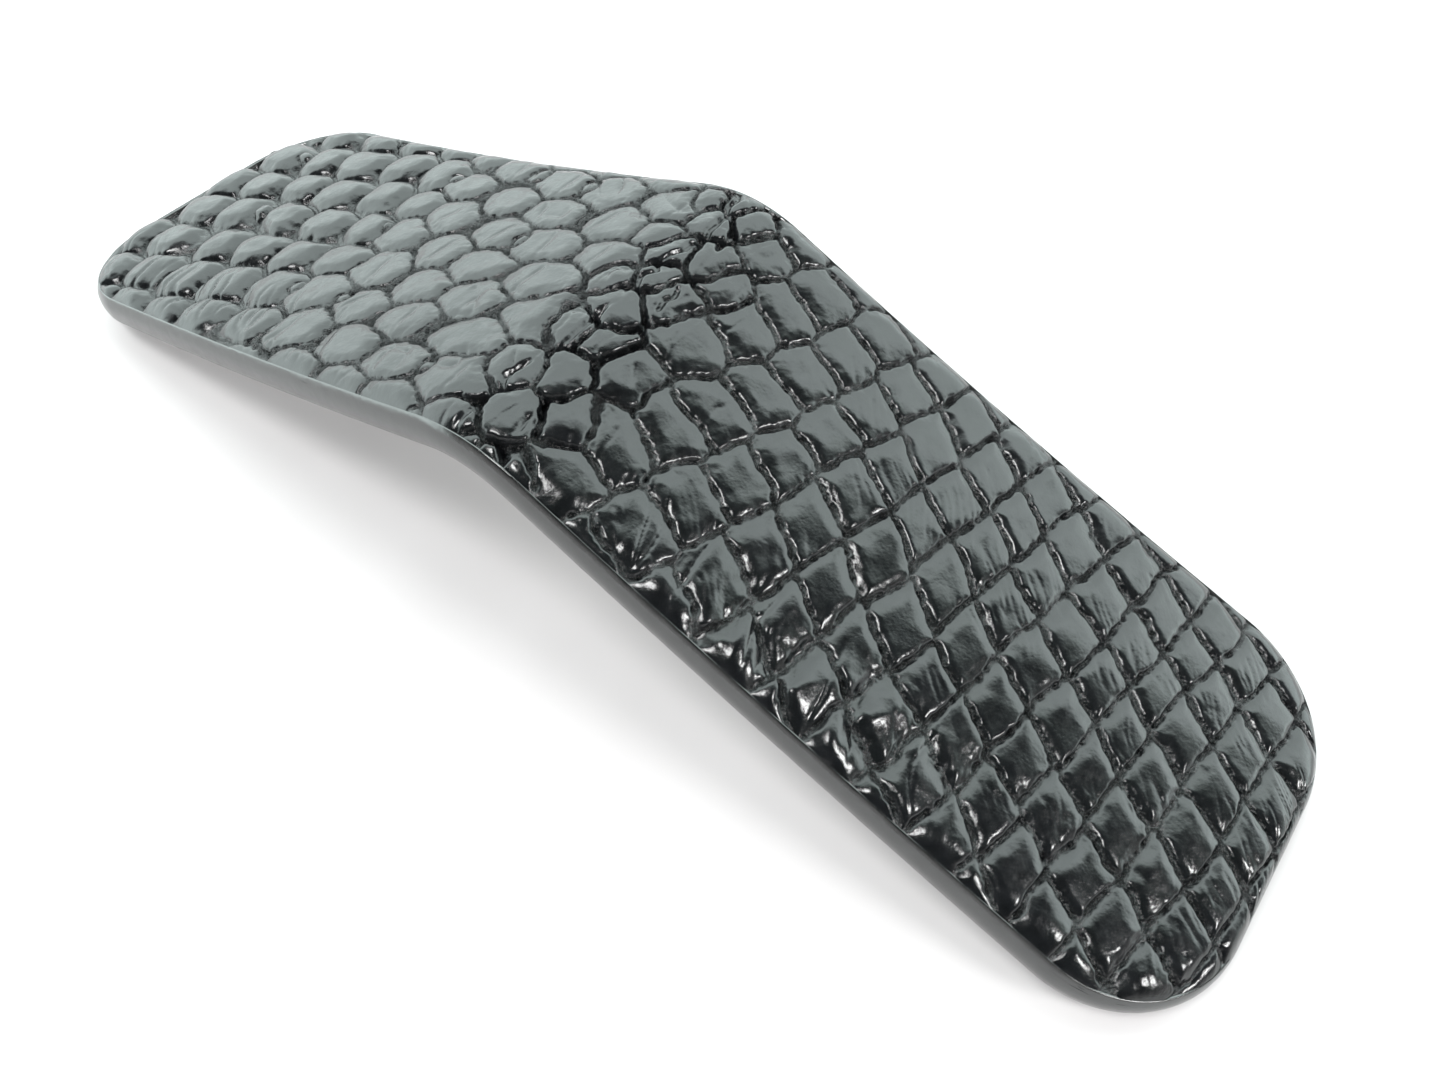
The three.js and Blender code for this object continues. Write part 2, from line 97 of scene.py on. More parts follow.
def outline(inset, straight_steps, corner_steps, end_steps):
    """The strip's rounded outline as a closed loop (s, t), drawn in by inset. Two loops with the same
    steps match point by point. The second half of the loop is the first one turned half round."""
    radius = CORNER_RADIUS - inset
    centre_s = half_length - CORNER_RADIUS
    centre_t = half_width - CORNER_RADIUS
    turn = np.linspace(0, math.pi / 2, corner_steps + 1)
    long_side = np.linspace(-centre_s, centre_s, straight_steps + 1)
    end_side = np.linspace(centre_t, -centre_t, end_steps + 1)
    half = [
        (long_side, np.full_like(long_side, centre_t + radius)),
        (centre_s + radius * np.sin(turn[1:]), centre_t + radius * np.cos(turn[1:])),
        (np.full(end_steps, centre_s + radius), end_side[1:]),
        (centre_s + radius * np.cos(turn[1:-1]), -centre_t - radius * np.sin(turn[1:-1])),
    ]
    s = np.concatenate([part[0] for part in half])
    t = np.concatenate([part[1] for part in half])
    return np.concatenate([s, -s]), np.concatenate([t, -t])


def edge_distance(s, t):
    """How far inside the outline each point is, in mm."""
    ds = np.abs(s) - (half_length - CORNER_RADIUS)
    dt = np.abs(t) - (half_width - CORNER_RADIUS)
    outside = np.hypot(np.maximum(ds, 0), np.maximum(dt, 0))
    return CORNER_RADIUS - outside - np.minimum(np.maximum(ds, dt), 0)


# ---- Smooth steps and noise ---------------------------------------------------------------------


def smoothstep(low, high, x):
    """0 up to low, 1 from high on, and a smooth rise between them."""
    u = np.clip((x - low) / (high - low), 0, 1)
    return u * u * (3 - 2 * u)


def mix(a, b, share):
    """a at share 0, b at share 1."""
    return a + (b - a) * share


def value_noise(x, y, seed):
    """Smooth noise from -1 to 1 with one random value at each whole number."""
    table = np.random.default_rng(seed).uniform(-1, 1, (128, 128))
    i = np.floor(x).astype(int)
    j = np.floor(y).astype(int)
    u = smoothstep(0, 1, x - i)
    v = smoothstep(0, 1, y - j)
    near = mix(table[i % 128, j % 128], table[(i + 1) % 128, j % 128], u)
    far = mix(table[i % 128, (j + 1) % 128], table[(i + 1) % 128, (j + 1) % 128], u)
    return mix(near, far, v)


def ridged(x, y, seed):
    """Noise that is 1 along thin wandering lines and falls to 0 between them."""
    return 1 - np.abs(value_noise(x, y, seed))


# ---- Where the scales lie -----------------------------------------------------------------------
# Each scale is a row of numbers: its centre (s, t), two half-pitch vectors that frame it (along its
# row and across it), its squareness from 0, rounded, to 1, a square tile, and how domed it is.
# PEBBLES, FOLD and TILES are the stretches of s that each kind fills, in mm, and areas are in mm2.
# The halves are how far the scales are laid from the middle, which is past both edges of the strip.

SEED = 7
PEBBLES = (-63.0, -2.2)
STATIONS = (-58, -44, -32, -22, -2)
ROW_HEIGHT = (-2.0, 0.2, 1.6, 0.8, -0.4)
ROW_PITCH = (5.3, 5.2, 4.8, 4.05, 3.85)
SCALE_PITCH = (5.4, 5.4, 5.6, 6.5, 6.8)
FOLD = (-3.4, 6.2)
FOLD_HALF = 19
FOLD_AREA = 12.5
FOLD_CLEARANCE = 2.3
LLOYD_ROUNDS = 9
TILES = (5.2, 63)
TILE_HALF = 20
TILE_HEADS = (-6, 68)
TILE_START = (22.97, 8.3)
TILE_STATIONS = (8, 20, 45, 58)


def lay_rows(rng):
    """Staggered rows of pebbles, domed at the left end and flat polygons towards the fold."""
    scales = []
    step, s = 0, PEBBLES[0]
    while s < PEBBLES[1]:
        pitch = np.interp(s, STATIONS, SCALE_PITCH)
        rise = np.interp(s, STATIONS, ROW_PITCH)
        flat = float(smoothstep(-36, -25, s))
        for row in range(-6, 7):
            t = np.interp(s, STATIONS, ROW_HEIGHT) + row * rise
            if (row + step) % 2:
                scales.append(pebble(rng, s, t, pitch, rise, flat))
            elif rng.uniform() < mix(0.12, 0.3, flat):
                scales.append(filler(rng, s, t + rng.uniform(-0.5, 0.5), flat))
        s += 0.5 * pitch
        step += 1
    return scales


def pebble(rng, s, t, pitch, rise, flat):
    """One scale of the staggered rows, a little off its place, size and direction."""
    half_s = mix(0.49, 0.43, flat) * pitch * rng.uniform(0.9, 1.08)
    half_t = mix(0.53, 0.54, flat) * rise * rng.uniform(0.9, 1.08)
    s += rng.uniform(-0.5, 0.5)
    t += rng.uniform(-0.35, 0.35)
    lean = rng.uniform(-0.15, 0.15)
    return (s, t, half_s, lean * half_t, -lean * half_s, half_t, 0, 1 - flat)


def filler(rng, s, t, flat):
    """A small scale in the corner between its neighbours."""
    half_s, half_t = rng.uniform(0.6, 1.2), rng.uniform(0.7, 1.1)
    return (s + rng.uniform(-0.3, 0.3), t, half_s, 0.1, -0.15, half_t, 0, 1 - flat)


def even_centres(rng):
    """Points (s, t) spread evenly over the ridge by Lloyd's method, a little closer along the strip."""
    s, t = np.meshgrid(np.arange(*FOLD, 0.3), np.arange(-FOLD_HALF, FOLD_HALF, 0.3))
    samples = np.stack([s.ravel(), t.ravel()], axis=-1)
    count = round((FOLD[1] - FOLD[0]) * 2 * FOLD_HALF / FOLD_AREA)
    centres = samples[rng.choice(len(samples), count, replace=False)] * 1.0
    squeeze = np.array((1.3, 0.77))
    for _ in range(LLOYD_ROUNDS):
        apart = (samples[:, None] - centres[None]) * squeeze
        owner = np.hypot(apart[..., 0], apart[..., 1]).argmin(axis=1)
        for k in range(count):
            if np.any(owner == k):
                centres[k] = samples[owner == k].mean(axis=0)
    return centres


def spread_fold(rng, others):
    """Small uneven scales over the ridge, where none of the others lies."""
    half = 0.5 * math.sqrt(FOLD_AREA)
    scales = []
    for s, t in even_centres(rng):
        if min(math.hypot(s - other[0], t - other[1]) for other in others) > FOLD_CLEARANCE:
            half_s, half_t = half * rng.uniform(0.8, 1.15), half * rng.uniform(0.9, 1.15)
            scales.append((s, t, half_s, rng.uniform(-0.3, 0.3), rng.uniform(-0.3, 0.3), half_t, 0, 0))
    return scales


def tile_row_step(s):
    """From one tile to the next along its row."""
    return np.array((np.interp(s, TILE_STATIONS, (4.1, 3.9, 3.35, 3.25)),
                     np.interp(s, TILE_STATIONS, (-3.2, -2.4, -1.65, -1.4))))


def tile_column_step(s):
    """From one tile to the next towards the near edge."""
    return np.array((np.interp(s, TILE_STATIONS, (-1.4, -1.0, -0.6, -0.4)),
                     np.interp(s, TILE_STATIONS, (-3.6, -4.0, -4.2, -4.2))))


def lay_tiles(rng):
    """Tiles on a skewed lattice: rounded hexagons beside the fold, squares further right."""
    heads = [np.array(TILE_START)]
    while heads[-1][0] < TILE_HEADS[1]:
        heads.append(heads[-1] + tile_row_step(heads[-1][0]))
    while heads[0][0] > TILE_HEADS[0]:
        heads.insert(0, heads[0] - tile_row_step(heads[0][0]))
    tiles = []
    for head in heads:
        down = head.copy()
        up = head - tile_column_step(head[0])
        while down[1] > -TILE_HALF:
            tiles.append(tile(rng, down))
            down = down + tile_column_step(down[0])
        while up[1] < TILE_HALF:
            tiles.append(tile(rng, up))
            up = up - tile_column_step(up[0])
    return [t for t in tiles if TILES[0] < t[0] < TILES[1] and abs(t[1]) < TILE_HALF]


def tile(rng, place):
    """One tile, framed by its own part of the skewed lattice where it is square."""
    s, t = place + rng.uniform(-0.32, 0.32, 2)
    square = float(smoothstep(11, 24, s))
    along, across = 0.5 * tile_row_step(s), 0.5 * tile_column_step(s)
    half = math.sqrt(abs(along[0] * across[1] - along[1] * across[0]))
    along = mix(np.array((half, 0)), along, square)
    across = mix(np.array((0, -half)), across, square)
    return (s, t, *along, *across, square, 0)


def all_scales():
    """Every scale of the skin, one per row of the array."""
    rng = np.random.default_rng(SEED)
    scales = lay_rows(rng) + lay_tiles(rng)
    return np.array(scales + spread_fold(rng, scales))


# ---- Height of the leather ----------------------------------------------------------------------

# How far from its centre a scale is looked for, in its own half-pitches.
SCALE_REACH = 2.3


def nearest_scales(s, t, scales):
    """For each point: its scale, its place in that scale's frame, its reach from 0 at the centre to
    about 1 at the border, the distance in mm to the border with the next scale, and its size."""
    frames = np.stack([scales[:, 2:4], scales[:, 4:6]], axis=-1)
    inverse = np.linalg.inv(frames)
    power = mix(2.5, 4.0, scales[:, 6])
    sizes = np.sqrt(np.abs(np.linalg.det(frames)))
    points = np.stack([s, t], axis=-1)
    best = np.full(len(s), np.inf)
    second = np.full(len(s), np.inf)
    owner = np.zeros(len(s), int)
    for k, centre in enumerate(scales[:, 0:2]):
        extent = SCALE_REACH * np.abs(frames[k]).sum(axis=1).max()
        near = np.flatnonzero(np.abs(points - centre).max(axis=1) < extent)
        q = (points[near] - centre) @ inverse[k].T
        reach = (np.abs(q) ** power[k]).sum(axis=1) ** (1 / power[k])
        closer = reach < best[near]
        second[near] = np.where(closer, best[near], np.minimum(second[near], reach))
        owner[near[closer]] = k
        best[near] = np.minimum(best[near], reach)
    q = np.einsum("nij,nj->ni", inverse[owner], points - scales[owner, 0:2])
    border = 0.5 * (np.minimum(second, 3) - best) * sizes[owner]
    return owner, q, best, border, sizes[owner]


def soft_min(a, b, blend=0.35):
    """The smaller of two distances, rounded off where they meet."""
    share = np.clip(0.5 + 0.5 * (b - a) / blend, 0, 1)
    return mix(b, a, share) - blend * share * (1 - share)


def bevel(distance, width, power=1.5):
    """1 at a scale's rim, falling to 0 at a width inside it."""
    return np.clip(1 - distance / width, 0, 1) ** power


def tile_drop(s, q, size):
    """Tiles roll off broadly on their left and far sides, tightly elsewhere, and swell to the right."""
    left, right = (1 + q[:, 0]) * size, (1 - q[:, 0]) * size
    far, near = (1 + q[:, 1]) * size, (1 - q[:, 1]) * size
    broad = np.maximum(0.26 * bevel(left, 1.2), 0.22 * bevel(far, 1.1))
    tight = np.maximum(0.2 * bevel(right, 0.6), 0.24 * bevel(near, 0.7))
    swell = mix(0.02, 0.08, smoothstep(32, 48, s))
    return np.maximum(broad, tight) + swell * (q**2).sum(axis=1)


def dome_drop(reach, size):
    """Pebbles are round on top and fall away softly to the web between them."""
    fall = 0.4 * np.clip(reach, 0, 1.3) ** 2 + 0.6 * smoothstep(0.54, 1.14, reach)
    return 0.74 * np.clip(size / 2.2, 0, 1) * fall


# How scales of each kind meet, as (square tile, flat scale, domed pebble), in mm: how far inside the
# rim the groove starts and ends, how deep it is, and how deep the crack along the rim is.
GROOVE_FLOOR = (-0.12, -0.12, -0.3)
GROOVE_BRINK = (0.22, 0.15, 0.15)
GROOVE_DEPTH = (0.5, 0.32, 0.05)
RIM_CRACK = (0.15, 0.3, 0.05)
PEBBLE_CREASE = 0.22


def by_kind(values, square, domed):
    """The value for each point's kind of scale, out of (square tile, flat scale, domed pebble)."""
    tile_value, flat_value, pebble_value = values
    return mix(mix(flat_value, tile_value, square), pebble_value, domed)


def warped(s, t):
    """The same points, pushed about so that no row or border runs straight."""
    warp_s = s + 0.4 * value_noise(s / 6, t / 6, 15) + 0.24 * value_noise(s / 2.1, t / 2.1, 11)
    warp_t = t + 0.3 * value_noise(s / 6, t / 6, 16) + 0.24 * value_noise(s / 2.1, t / 2.1, 13)
    warp_s += 0.08 * value_noise(s / 0.6, t / 0.6, 12)
    warp_t += 0.08 * value_noise(s / 0.6, t / 0.6, 14)
    return warp_s, warp_t


def leather_height(s, t):
    """Height over the face in mm, and how much of each point is groove, at each (s, t)."""
    scales = all_scales()
    owner, q, reach, border, size = nearest_scales(*warped(s, t), scales)
    square, domed = scales[owner, 6], scales[owner, 7]
    folded = fold_zone(s, t)

    limit = mix(mix(1.14, 1.02, domed), 1.6, np.maximum(square, smoothstep(-9, -4, s)))
    rim = soft_min(border - 0.03, (limit - reach) * size) + 0.07 * value_noise(s / 0.32, t / 0.32, 63)
    brink = by_kind(GROOVE_BRINK, square, domed) + 0.22 * folded
    web = 1 - smoothstep(by_kind(GROOVE_FLOOR, square, domed), brink, rim)
    ring = np.exp(-(((rim + 0.02) / 0.12) ** 2)) * (0.75 + 0.55 * value_noise(s / 0.55, t / 0.55, 62))
    groove = np.maximum(web, ring) * mix(1, 0.2, domed)

    drops = (tile_drop(s, q, size), 0.24 * bevel(rim, 1.1), dome_drop(reach, size))
    top = by_kind(drops, square, domed)
    crumple = 1 + 0.5 * value_noise(s / 0.42, t / 0.36, 61)
    depth = by_kind(GROOVE_DEPTH, square, domed) * (1 + 2.2 * fold_crack(s, t)) + 0.4 * folded
    height = -top * (1 - web) - (domed * top + depth * crumple) * web
    height -= by_kind(RIM_CRACK, square, domed) * ring
    height -= PEBBLE_CREASE * domed * np.exp(-((border / 0.18) ** 2))
    height += crease_height(s, q, owner) + tile_tilt(s, t, q, size, owner) * square * (1 - web)
    return height + wrinkle_height(s, t, groove) + crown_height(s, t), groove


def crown_height(s, t):
    """The right arm is slightly crowned across its width."""
    return 0.45 * smoothstep(-15, 3, t) * (1 - smoothstep(3, 15.5, t)) * smoothstep(8, 22, s)


def tile_tilt(s, t, q, size, owner):
    """Tiles lean a little at random, and those along the near edge are creased to a slanting ridge."""
    rng = np.random.default_rng(23)
    lean = rng.uniform(-0.025, 0.025, (owner.max() + 1, 2))[owner]
    way = rng.uniform(-0.9, 0.5, owner.max() + 1)[owner]
    across = q[:, 0] * np.cos(way) + q[:, 1] * np.sin(way) + 0.15
    ridge = 0.24 * near_edge(s, t) * (0.4 - np.sqrt(across**2 + 0.01))
    return ((lean * q).sum(axis=1) + ridge) * size


def near_edge(s, t):
    """1 where the leather is most creased: along the near edge, away from the fold and right end."""
    right_arm = smoothstep(6, 13, s) * (1 - smoothstep(30, 44, s))
    left_arm = 0.8 * (1 - smoothstep(-16, -8, s))
    return (right_arm + left_arm) * (1 - smoothstep(-12, -6, t))


def crease_height(s, q, owner):
    """A shallow line across most of the flat scales on both sides of the fold."""
    rng = np.random.default_rng(21)
    offset = rng.uniform(-0.35, 0.35, owner.max() + 1)[owner]
    lean = rng.uniform(-0.25, 0.25, owner.max() + 1)[owner]
    chosen = (rng.uniform(size=owner.max() + 1) < 0.6)[owner]
    across = (q[:, 0] - offset - lean * q[:, 1]) * 2.7
    place = smoothstep(-30, -22, s) * (1 - smoothstep(8, 14, s))
    fade = np.clip(1.1 - np.abs(q[:, 1]), 0, 1)
    return -0.07 * chosen * place * fade * np.exp(-((across / 0.2) ** 2))


def fold_crack(s, t, width=0.8):
    """How near a point is to one of the two cracks that wander across the strip over the ridge."""
    near = 0
    for seed, middle in ((31, -0.6), (32, 2.6)):
        line = middle + 1.3 * value_noise(t / 5.0, 0 * t + 3.5, seed)
        line += 0.3 * value_noise(t, 0 * t, seed)
        near = near + np.exp(-(((s - line) / width) ** 2))
    return near


def fold_zone(s, t):
    """1 over the ridge, where the grooves gape, in patches that fade out on both sides."""
    patch = 0.6 + 0.4 * value_noise(s / 2.5, t / 2.5, 49)
    return smoothstep(-6.5, -3, s) * (1 - smoothstep(4, 8, s)) * patch


def wrinkle_height(s, t, groove):
    """Crinkles in the grooves, cracks and veins round the ridge, and fine folds on the tiles."""
    crinkle = ridged(s / 0.45, t / 0.35, 41) + 0.7 * value_noise(s / 0.24, t / 0.24, 42) - 0.6
    crinkle += 0.6 * value_noise(s / 0.17, t / 0.17, 50)
    bent = s + 0.35 * t + 0.8 * value_noise(s / 3, t / 3, 43)
    folds = ridged(bent / 1.1, t / 5.5, 44) ** 4 * smoothstep(-15.5, -13, t) * near_edge(s, t)
    patch = smoothstep(0.0, 0.5, value_noise(s / 3, t / 3, 46)) * smoothstep(10, 18, s)
    fine = ridged((bent + 0.6 * t) / 0.45, t / 2.2, 45) ** 5 * patch
    broken = smoothstep(-0.3, 0.3, value_noise(s / 2, t / 2.5, 48))
    stretched = smoothstep(-20, -10, s) * (1 - smoothstep(5, 10, s))
    veins = ridged((s + 0.8 * t) / 2.6, t / 4.5, 51) ** 7 * stretched
    swell = 0.05 * value_noise(s / 1.5, t / 1.5, 47)
    flat = swell - 0.2 * folds - 0.06 * fine - broken * (0.45 * fold_crack(s, t, 0.2) + 0.14 * veins)
    return 0.17 * groove * crinkle + flat * (1 - groove)


# ---- Meshes -------------------------------------------------------------------------------------


def new_piece(name, points, faces, material):
    """A smooth-shaded mesh object in the scene."""
    mesh = bpy.data.meshes.new(name)
    mesh.from_pydata(np.asarray(points).tolist(), [], faces)
    mesh.validate()
    mesh.polygons.foreach_set("use_smooth", [True] * len(mesh.polygons))
    mesh.materials.append(material)
    piece = bpy.data.objects.new(name, mesh)
    bpy.context.scene.collection.objects.link(piece)
    return piece


def grid_faces(columns, rows):
    """Quads of a grid stored column by column."""
    i, j = np.meshgrid(np.arange(columns - 1), np.arange(rows - 1), indexing="ij")
    first = (i * rows + j).ravel()
    return np.stack([first, first + rows, first + rows + 1, first + 1], axis=1).tolist()


def band_faces(first, second):
    """Quads between two closed loops of vertex numbers."""
    return [
        (first[k], first[(k + 1) % len(first)], second[(k + 1) % len(first)], second[k])
        for k in range(len(first))
    ]


# The skin's mesh, in mm: its grid step, how far it stays inside the outline, how it rolls down at
# the edge, and the depth of its underside, which is a little shorter and narrower than the face.
SKIN_STEP = 0.13
SKIN_INSET = 0.25
ROLL_WIDTH = 2.4
ROLL_DEPTH = 1.9
SKIN_UNDER = 1.28
UNDER_SHRINK = (0.998, 0.988)


def roll_depth(inside):
    """How far the skin has rolled down towards the edge."""
    share = np.clip(1 - inside / ROLL_WIDTH, 0, 1)
    return ROLL_DEPTH * (1 - np.sqrt(1 - share**2))


def skin_grid():
    """Points (s, t) of the skin's face, column by column, with finer columns in the corners."""
    radius = CORNER_RADIUS - SKIN_INSET
    centre_s = half_length - CORNER_RADIUS
    straight = np.linspace(0, centre_s, round(centre_s / SKIN_STEP))
    turn = np.linspace(0, math.pi / 2, round(radius * math.pi / 2 / SKIN_STEP))[1:]
    s = np.concatenate([straight, centre_s + radius * np.sin(turn)])
    half = np.concatenate([np.full(len(straight), half_width - SKIN_INSET),
                           half_width - CORNER_RADIUS + radius * np.cos(turn)])
    s = np.concatenate([-s[:0:-1], s])
    half = np.concatenate([half[:0:-1], half])
    share = np.linspace(-1, 1, round(2 * half_width / SKIN_STEP))
    return np.repeat(s, len(share)), np.outer(half, share).ravel(), len(s), len(share)


def make_skin(material):
    """The skin: a relief on the face, rolled down all round, with a lip and a flat underside."""
    s, t, columns, rows = skin_grid()
    height, groove = leather_height(s, t)
    inside = edge_distance(s, t)
    relief = smoothstep(0.15, 1.3, inside)
    top = on_strip(s, t, roll_depth(inside) - height * relief)
    grid = np.arange(columns * rows).reshape(columns, rows)
    rim = np.concatenate([grid[:, 0], grid[-1, 1:], grid[-2::-1, -1], grid[0, -2:0:-1]])
    under_s, under_t = s[rim] * UNDER_SHRINK[0], t[rim] * UNDER_SHRINK[1]
    lip = on_strip(under_s, under_t, roll_depth(inside[rim]) + 0.1)
    bottom = on_strip(under_s, under_t, SKIN_UNDER)
    lip_loop = len(s) + np.arange(len(rim))
    bottom_loop = lip_loop + len(rim)
    faces = grid_faces(columns, rows)
    faces += band_faces(lip_loop, rim) + band_faces(bottom_loop, lip_loop)
    faces += under_faces(bottom_loop, columns, rows)
    piece = new_piece("visual_alligator_skin", np.concatenate([top, lip, bottom]), faces, material)
    store(piece, "groove", np.concatenate([groove * relief, np.zeros(2 * len(rim))]))
    return piece


def under_faces(loop, columns, rows):
    """Faces that close the underside: strips from its near side to its far side, and both ends."""
    near, end, far = columns, rows - 1, columns - 1
    near_side = loop[:near]
    far_side = loop[near + end - 1:near + end + far][::-1]
    strips = [
        (near_side[k], far_side[k], far_side[k + 1], near_side[k + 1])
        for k in range(1, columns - 2)
    ]
    right_end = [*loop[near - 2:near + end + 1]][::-1]
    left_end = [*loop[near + end + far - 2:], *loop[:2]][::-1]
    return [*strips, right_end, left_end]


def store(piece, name, values):
    """Keeps one number per vertex for the material to read."""
    attribute = piece.data.attributes.new(name, "FLOAT", "POINT")
    attribute.data.foreach_set("value", values.astype(np.float32))


# The bead's section as (inset from the outline, depth under the face), in mm.
COAT_SECTION = (
    (0.8, 0.95), (0.56, 0.66), (0.48, 0.73), (0.3, 0.96), (0.14, 1.24), (0.05, 1.5), (0.0, 1.8),
    (-0.02, 2.1), (0.0, 2.45), (0.06, 2.8), (0.18, 3.04), (0.35, 3.16), (0.6, 3.2), (0.8, 2.4),
)


def make_edge_coat(material):
    """The painted edge: a closed section, swept round the strip, with slight waves."""
    loops = []
    for inset, depth in COAT_SECTION:
        s, t = outline(inset, straight_steps=240, corner_steps=40, end_steps=30)
        wave = 0.02 * value_noise(s / 3.0, t / 3.0, 51) + 0.01 * value_noise(s / 0.8, t / 0.8, 52)
        loops.append(on_strip(s, t, depth + wave))
    count = len(loops[0])
    faces = []
    for k in range(len(loops)):
        after = (k + 1) % len(loops)
        faces += band_faces(np.arange(count) + k * count, np.arange(count) + after * count)
    return new_piece("visual_edge_coat", np.concatenate(loops), faces, material)


# ---- Materials ----------------------------------------------------------------------------------


class Nodes:
    """Short words for building a node tree."""

    def __init__(self, name):
        self.material = bpy.data.materials.new(name)
        self.material.use_nodes = True
        self.tree = self.material.node_tree
        self.shader = self.tree.nodes["Principled BSDF"]

    def add(self, kind, **values):
        """A new node, with each value set on its socket, or on the node if it has no such socket."""
        node = self.tree.nodes.new(kind)
        for key, value in values.items():
            if key in node.inputs:
                node.inputs[key].default_value = value
            else:
                setattr(node, key, value)
        return node

    def link(self, source, target):
        self.tree.links.new(source, target)

    def set(self, **values):
        """Sets the shader's own sockets. An underscore stands for a space."""
        for key, value in values.items():
            self.shader.inputs[key.replace("_", " ")].default_value = value


def position(nodes, scale=(1, 1, 1)):
    """Object-space position in metres, scaled."""
    coordinates = nodes.add("ShaderNodeTexCoord")
    mapping = nodes.add("ShaderNodeMapping", Scale=scale)
    nodes.link(coordinates.outputs["Object"], mapping.inputs["Vector"])
    return mapping.outputs["Vector"]


def noise(nodes, vector, scale, detail=3.0, roughness=0.5):
    """Noise from about 0.3 to 0.7, with this many features to the metre."""
    node = nodes.add("ShaderNodeTexNoise", Scale=scale, Detail=detail, Roughness=roughness)
    nodes.link(vector, node.inputs["Vector"])
    return node.outputs["Fac"]


def mottle(nodes, value, first, last, low=0.3, high=0.7):
    """Colour that goes from first to last as value goes from low to high."""
    span = nodes.add("ShaderNodeMapRange")
    span.inputs["From Min"].default_value = low
    span.inputs["From Max"].default_value = high
    nodes.link(value, span.inputs["Value"])
    node = nodes.add("ShaderNodeValToRGB")
    for element, colour in zip(node.color_ramp.elements, (first, last)):
        element.color = (*colour, 1)
    nodes.link(span.outputs["Result"], node.inputs["Fac"])
    return node.outputs["Color"]


def grey(level):
    return (level, level, level)


def bump(nodes, height, distance, strength=1.0, normal=None):
    """Normal that follows a height, over another normal if one is given. Distance is in metres."""
    node = nodes.add("ShaderNodeBump", Strength=strength, Distance=distance)
    nodes.link(height, node.inputs["Height"])
    if normal is not None:
        nodes.link(normal, node.inputs["Normal"])
    return node.outputs["Normal"]


def leather_material():
    """Glazed black alligator: near-black dye, a hard gloss, fine pores, crinkled grooves."""
    nodes = Nodes("alligator_leather")
    place = position(nodes)
    deep, worn = (0.0015, 0.0017, 0.002), (0.004, 0.0044, 0.005)
    dye = mottle(nodes, noise(nodes, place, 900, 5), deep, worn)
    nodes.link(dye, nodes.shader.inputs["Base Color"])
    groove = nodes.add("ShaderNodeAttribute", attribute_name="groove")
    gloss = mottle(nodes, noise(nodes, place, 1400, 6, 0.6), grey(0.15), grey(0.26), low=0.35)
    mixed = nodes.add("ShaderNodeMix", data_type="FLOAT")
    nodes.link(groove.outputs["Fac"], mixed.inputs[0])
    nodes.link(gloss, mixed.inputs[2])
    mixed.inputs[3].default_value = 0.18
    nodes.link(mixed.outputs[0], nodes.shader.inputs["Roughness"])
    crinkle = nodes.add("ShaderNodeBump", Distance=0.0005)
    nodes.link(noise(nodes, place, 4200, 3, 0.65), crinkle.inputs["Height"])
    nodes.link(groove.outputs["Fac"], crinkle.inputs["Strength"])
    pores = bump(nodes, noise(nodes, place, 4200, 3, 0.6), 0.00003, 0.4, crinkle.outputs["Normal"])
    waves = bump(nodes, noise(nodes, place, 1300, 4, 0.55), 0.00006, 0.4, pores)
    nodes.link(waves, nodes.shader.inputs["Normal"])
    nodes.set(IOR=1.5)
    return nodes.material


def edge_material():
    """Black edge paint, smooth and glossy with faint brush waves."""
    nodes = Nodes("edge_paint")
    place = position(nodes)
    tone = mottle(nodes, noise(nodes, place, 700, 3), grey(0.003), grey(0.008))
    nodes.link(tone, nodes.shader.inputs["Base Color"])
    gloss = mottle(nodes, noise(nodes, place, 1100, 4), grey(0.14), grey(0.26))
    nodes.link(gloss, nodes.shader.inputs["Roughness"])
    nodes.link(bump(nodes, noise(nodes, place, 900, 3), 0.00005, 0.5), nodes.shader.inputs["Normal"])
    nodes.set(IOR=1.8)
    return nodes.material


def lining_material():
    """Dull black lining leather with a fine grain."""
    nodes = Nodes("lining_leather")
    place = position(nodes)
    dark, light = (0.010, 0.010, 0.011), (0.026, 0.025, 0.025)
    tone = mottle(nodes, noise(nodes, place, 500, 5), dark, light)
    nodes.link(tone, nodes.shader.inputs["Base Color"])
    rough = mottle(nodes, noise(nodes, place, 1500, 4), grey(0.45), grey(0.62))
    nodes.link(rough, nodes.shader.inputs["Roughness"])
    grain = nodes.add("ShaderNodeTexVoronoi", Scale=1300.0, feature="DISTANCE_TO_EDGE")
    nodes.link(place, grain.inputs["Vector"])
    nodes.link(bump(nodes, grain.outputs["Distance"], 0.00012, 0.6), nodes.shader.inputs["Normal"])
    return nodes.material


def board_material():
    """Pressed leather board, brown and fibrous."""
    nodes = Nodes("leather_board")
    place = position(nodes, (1, 1, 4))
    dark, light = (0.10, 0.06, 0.035), (0.24, 0.16, 0.10)
    tone = mottle(nodes, noise(nodes, place, 1800, 6, 0.7), dark, light)
    nodes.link(tone, nodes.shader.inputs["Base Color"])
    nodes.link(bump(nodes, noise(nodes, place, 2500, 5), 0.0001, 0.6), nodes.shader.inputs["Normal"])
    nodes.set(Roughness=0.85)
    return nodes.material


